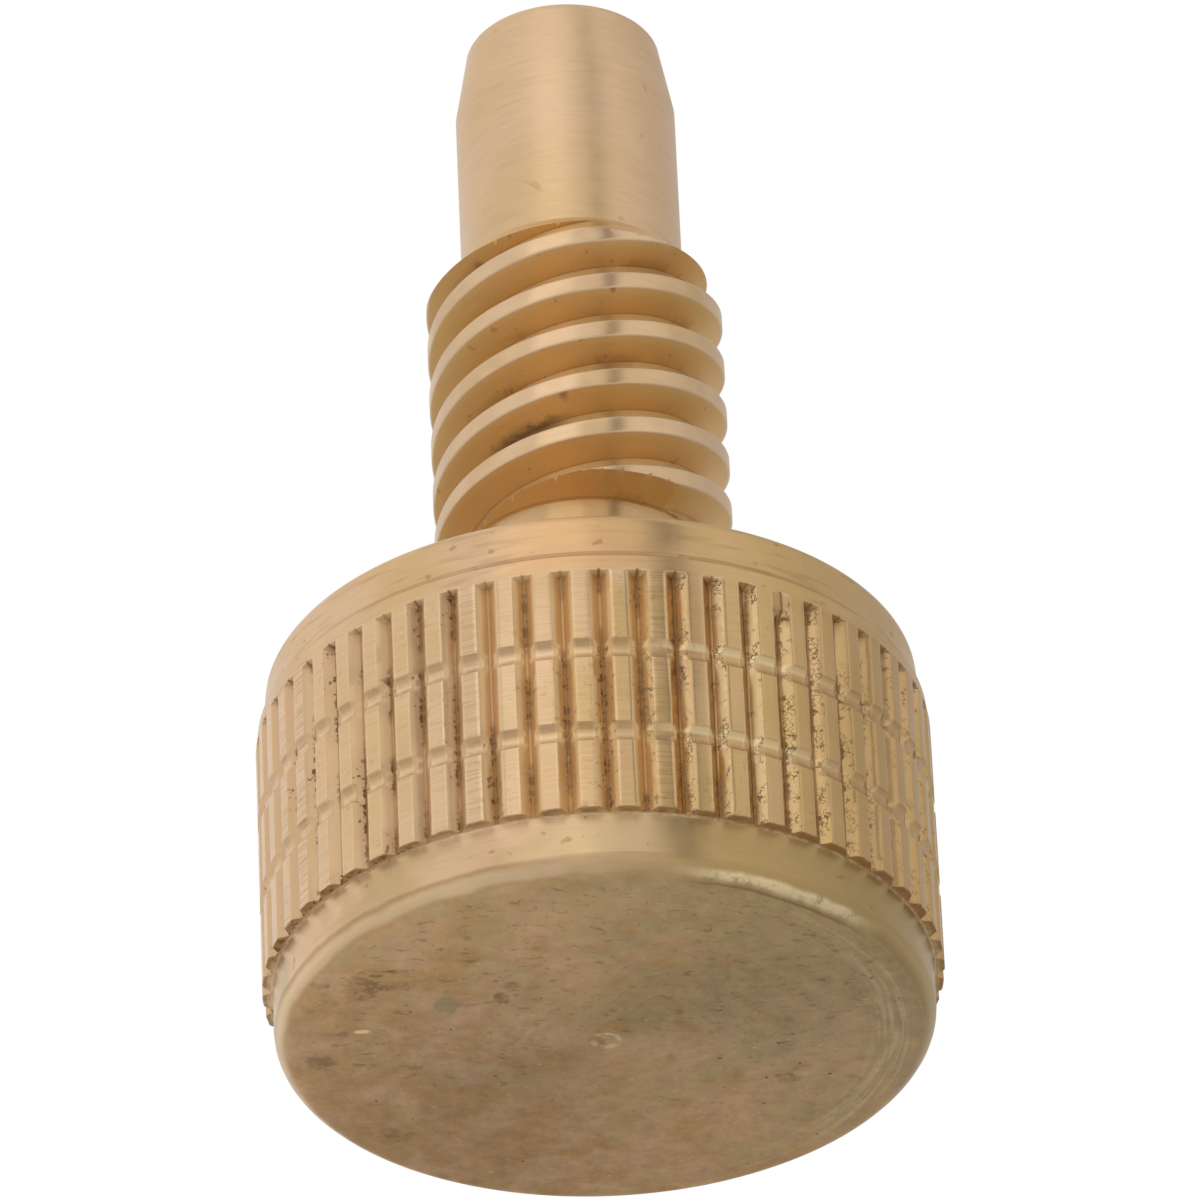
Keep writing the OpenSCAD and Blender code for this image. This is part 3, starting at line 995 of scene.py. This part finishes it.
def thread_dirt_and_shade(g, at, look, crest):
    """Dirt in the roots, thick in one of them, a thin line of painted shade along the root, and specks on
    the flanks.
    """
    low = g.ramp(at.r, ROOT_R + 0.05, ROOT_R + 0.45, 1.0, 0.0)
    grain = g.noise(at.mm, 1.9, 4.0, 0.75)
    dirt = g.ramp(g.plus(g.noise(at.mm, 0.42, 1.0), g.times(grain, 0.5)), 0.82, 0.94)
    look.lay(g.times(low, dirt, 0.30), RUST_BROWN_AND_SHADE)
    # Painted shade: a thin dark line along the root.
    look.lay(g.times(g.near(at.r, ROOT_R, 0.02, 0.06), 0.30), RUST_BROWN_AND_SHADE)
    climb = g.plus(at.z, g.times(g.plus(at.degrees, -LODGED_AT_DEG), -LEAD / 360))
    height = g.plus(at.r, g.times(grain, 0.9), -0.45)
    lodged = g.times(g.near(climb, LODGED_Z, 0.2, 0.5), g.ramp(height, ROOT_R, ROOT_R + 0.40, 1.0, 0.0))
    lodged = g.times(lodged, g.between(at.degrees, LODGED_FROM_DEG, LODGED_TO_DEG, 10.0))
    look.lay(g.times(lodged, 0.80), CURL_BROWN, rough=0.1, dull=0.4)
    for azimuth, height, half_turn, half_height in THREAD_SPECKS:
        across = g.times(g.plus(at.degrees, -azimuth), 1 / half_turn)
        along = g.times(g.plus(at.z, -height), 1 / half_height)
        away = g.math("SQRT", g.plus(g.times(across, across), g.times(along, along)))
        away = g.plus(away, g.times(grain, 1.2), -0.6)
        speck = g.times(g.ramp(away, 0.4, 1.2, 0.65, 0.0), g.less(crest))
        look.lay(speck, RUST_BROWN_AND_SHADE, rough=0.1, dull=0.3)
    look.lay(g.times(g.less(crest), flecks(g, at.mm, 2.7, 0.71, 0.77), 0.35), STAIN_BROWN_AND_SHADE)


def thread_finish(g, at, look):
    """Orange flanks, more orange where they face down, and the thread darker towards the left, both
    painted shade; pale flat crests and dirt.
    """
    normal = g.node("ShaderNodeNewGeometry").outputs["Normal"]
    up = g.node("ShaderNodeSeparateXYZ", {0: normal}).outputs[2]
    # Painted shade: the flanks are more orange where they face down.
    much = g.ramp(up, -0.2, 0.3, 0.66, 0.30)
    flank = g.ramp(at.r, CREST_R - 0.12, CREST_R - 0.03, 1.0, 0.0)
    look.lay(g.times(flank, much), ORANGE_SHADE, rough=0.16)
    crest = g.ramp(at.r, CREST_R - 0.05, CREST_R - 0.01)
    # Painted shade: darker towards the left.
    look.colour = g.shade(look.colour, g.ramp(at.x, -4.6, -1.0, 0.82, 0.98))
    worn = g.ramp(g.noise(at.mm, 0.8, 1.0), 0.35, 0.65, 0.0, 0.18)
    look.lay(g.times(crest, worn), PALE_WEAR_AND_HIGHLIGHT)
    look.lay(g.times(g.near(at.r, CREST_R - 0.03, 0.01, 0.04), 0.35), PALE_WEAR_AND_HIGHLIGHT)
    thread_dirt_and_shade(g, at, look, crest)


def brass_material(name, finish, anisotropy):
    """One brass surface, its highlights drawn out round the axis by the turned grain."""
    material = bpy.data.materials.new(name)
    material.use_nodes = True
    g = Graph(material.node_tree)
    at = Place(g)
    look = bare_metal(g, at)
    finish(g, at, look)
    tangent = g.node("ShaderNodeTangent", direction_type="RADIAL", axis="Z").outputs[0]
    bump = g.node("ShaderNodeBump", {"Height": look.height, "Distance": MM, "Strength": 1.0})
    inputs = {
        "Base Color": look.colour,
        "Metallic": look.metal,
        "Roughness": look.rough,
        "Specular IOR Level": 0.1,
        "Anisotropic": anisotropy,
        "Anisotropic Rotation": 0.25,
        "Tangent": tangent,
        "Normal": bump.outputs[0],
    }
    shader = g.node("ShaderNodeBsdfPrincipled", inputs)
    out = g.node("ShaderNodeOutputMaterial")
    g.plug(out.inputs["Surface"], shader.outputs[0])
    return material


# Name, finish and anisotropy of each material, in the order of the slots
FINISHES = (
    ("brass_plain", plain_finish, 0.9),
    ("brass_face", face_finish, 0.9),
    ("brass_knurl", knurl_finish, 0.9),
    ("brass_thread", thread_finish, 0.9),
    ("brass_pilot", pilot_finish, 0.2),
)
PLAIN, FACE, KNURL, THREAD, PILOT = range(len(FINISHES))


def slot_at(height):
    """Material slot at a height above the outer face, in millimetres."""
    if height < FACE_EDGE_R:
        return FACE
    if KNURL_Z - 0.08 < height < STOP_Z:
        return KNURL
    if NECK_TOP_Z < height < PILOT_Z:
        return THREAD
    if height > PILOT_Z:
        return PILOT
    return PLAIN


def dress(piece):
    """Gives each face of the piece its material by its height."""
    for name, finish, anisotropy in FINISHES:
        piece.data.materials.append(brass_material(name, finish, anisotropy))
    for face in piece.data.polygons:
        face.material_index = slot_at(face.center.z / MM)


# ---------------------------------------------------------------- studio
# Level of the studio below the piece, and how far its sides and its one gap differ from 1
SKY_BELOW = 0.7
GAP_DEG = -60.0
GAP_DARK = 0.75
RIGHT_DIM = -0.29
LEFT_LIFT = 0.08
LAMP_SIZE = (0.30, 0.40)
LAMP_ENERGY = 0.155
LAMP_AZIMUTH_DEG = -106
LAMP_RISE_DEG = 34
LAMP_DISTANCE = 0.6
FLOOR_SIZE = 3.0
FLOOR_Z = -0.0001
FLOOR_COLOUR = (0.93, 0.93, 0.93, 1.0)
FLOOR_FADE = (0.1, 1.2)
WHITE = (1.0, 1.0, 1.0, 1.0)


def make_world():
    """White to the camera. The brass reflects a pale studio with one darker gap, as in the photo."""
    world = bpy.data.worlds.new("studio")
    world.use_nodes = True
    g = Graph(world.node_tree)
    way = g.node("ShaderNodeTexCoord").outputs["Generated"]
    x, y, z = g.node("ShaderNodeSeparateXYZ", {0: way}).outputs
    level = g.ramp(z, -0.35, 0.0, SKY_BELOW, 1.0)
    degrees = g.times(g.math("ARCTAN2", y, x), 180 / math.pi)
    gap = g.times(g.near(degrees, GAP_DEG, 2.0, 8.0), g.between(z, 0.1, 0.9, 0.08))
    right = g.times(g.ramp(degrees, -40.0, 20.0, 0.0, RIGHT_DIM), g.ramp(degrees, 60.0, 120.0, 1.0, 0.0))
    left = g.ramp(degrees, -150.0, -110.0, LEFT_LIFT, 0.0)
    left = g.plus(left, g.ramp(degrees, 110.0, 150.0, 0.0, LEFT_LIFT))
    level = g.times(level, g.less(g.times(gap, GAP_DARK)), g.plus(1.0, left, right))
    seen = g.node("ShaderNodeLightPath").outputs["Is Camera Ray"]
    strength = g.node("ShaderNodeMix", {"Factor": seen, "A": level, "B": 1.0}).outputs[0]
    light = g.node("ShaderNodeBackground", {"Strength": strength})
    light.inputs["Color"].default_value = WHITE
    out = g.node("ShaderNodeOutputWorld")
    g.plug(out.inputs["Surface"], light.outputs[0])
    bpy.context.scene.world = world


def make_lamp():
    """One large soft lamp in front and to the left."""
    data = bpy.data.lights.new("soft_lamp", "AREA")
    data.shape = "RECTANGLE"
    data.size, data.size_y = LAMP_SIZE
    data.energy = LAMP_ENERGY
    lamp = bpy.data.objects.new("soft_lamp", data)
    bpy.context.scene.collection.objects.link(lamp)
    azimuth = math.radians(LAMP_AZIMUTH_DEG)
    rise = math.radians(LAMP_RISE_DEG)
    reach = math.cos(rise)
    way = Vector((math.cos(azimuth) * reach, math.sin(azimuth) * reach, math.sin(rise)))
    lamp.location = way * LAMP_DISTANCE
    lamp.rotation_mode = "QUATERNION"
    lamp.rotation_quaternion = way.to_track_quat("Z", "Y")
    lamp.visible_camera = False


def make_floor():
    """Pale floor that shows only from above, and melts into the white round it."""
    half = FLOOR_SIZE / 2
    mesh = bpy.data.meshes.new("floor")
    corners = [(x * half, y * half, FLOOR_Z) for x, y in ((-1, -1), (1, -1), (1, 1), (-1, 1))]
    mesh.from_pydata(corners, [], [(0, 1, 2, 3)])
    floor = bpy.data.objects.new("floor", mesh)
    bpy.context.scene.collection.objects.link(floor)
    material = bpy.data.materials.new("floor")
    material.use_nodes = True
    g = Graph(material.node_tree)
    seen = g.node("ShaderNodeLightPath").outputs["Is Camera Ray"]
    back = g.node("ShaderNodeNewGeometry").outputs["Backfacing"]
    here = g.node("ShaderNodeTexCoord").outputs["Object"]
    reach = g.node("ShaderNodeVectorMath", {0: here}, operation="LENGTH").outputs["Value"]
    factor = g.times(seen, g.less(back), g.ramp(reach, *FLOOR_FADE, 1.0, 0.0))
    clear = g.node("ShaderNodeBsdfTransparent").outputs[0]
    matt = g.node("ShaderNodeBsdfDiffuse", {"Color": FLOOR_COLOUR}).outputs[0]
    blend = g.node("ShaderNodeMixShader", {0: factor, 1: clear, 2: matt}).outputs[0]
    out = g.node("ShaderNodeOutputMaterial")
    g.plug(out.inputs["Surface"], blend)
    mesh.materials.append(material)


make_camera()
make_world()
make_lamp()
make_floor()
piece = build_piece()
dress(piece)
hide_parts(NODE)
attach(piece, "root")

bpy.context.scene.view_settings.view_transform = "Standard"
